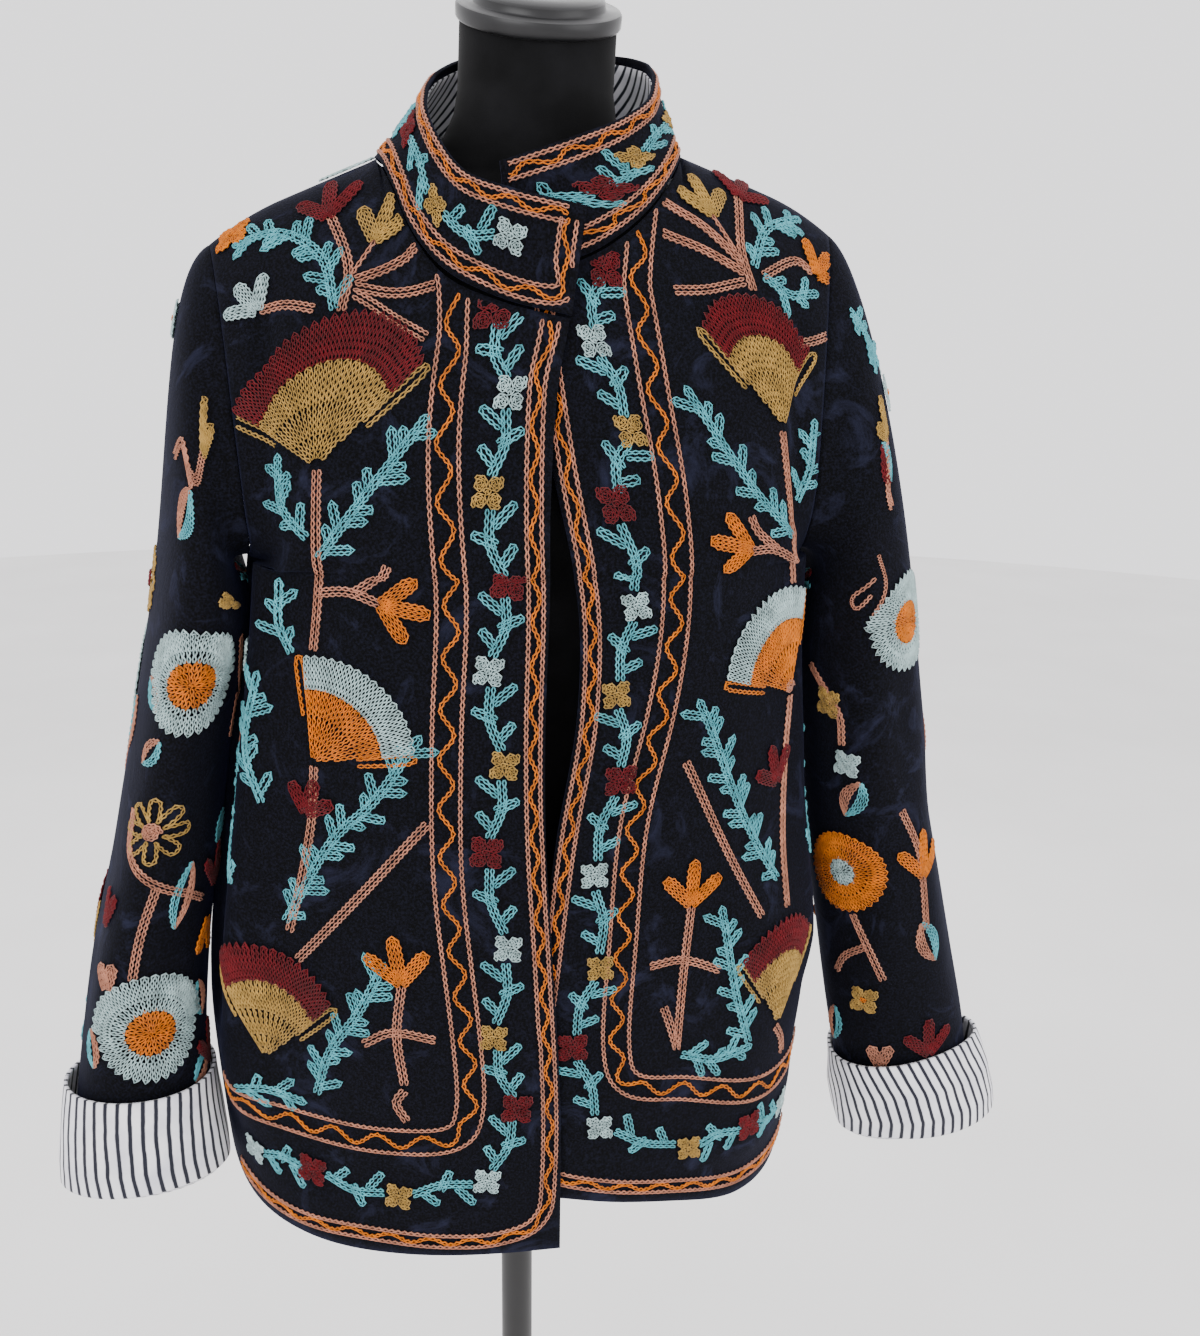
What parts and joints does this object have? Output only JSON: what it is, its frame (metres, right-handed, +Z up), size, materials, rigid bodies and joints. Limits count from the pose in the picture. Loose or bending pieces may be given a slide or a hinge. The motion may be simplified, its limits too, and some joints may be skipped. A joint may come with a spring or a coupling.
{
  "type": "embroidered jacket on a limbless dress form",
  "caption": "Hip-length velvet jacket with stand collar, lapped open front and turned-up striped cuffs, standing on a limbless dress form with a pole and round base.",
  "frame": {"origin": "centre of the base plate's underside, on the floor", "axes": "+Z up, the jacket's front faces -Y, the wearer's right is at -X"},
  "size_m": [0.6793, 0.33, 1.4868],
  "materials": {
    "velvet": "black pile velvet",
    "striped_cotton": "white cotton with narrow dark stripes",
    "form_cover": "matt black knitted cover",
    "dark_metal": "dark grey satin",
    "black_metal": "black satin"
  },
  "bodies": {
    "root": {"front_right": "velvet", "front_left": "velvet", "back": "velvet", "sleeve_right": "velvet", "sleeve_left": "velvet", "cuff_right": "striped_cotton", "cuff_left": "striped_cotton", "collar": "velvet", "collar_lining": "striped_cotton", "form_body": "form_cover", "form_neck_cap": "dark_metal", "form_pole": "black_metal", "form_base": "black_metal"}
  },
  "joints": []
}
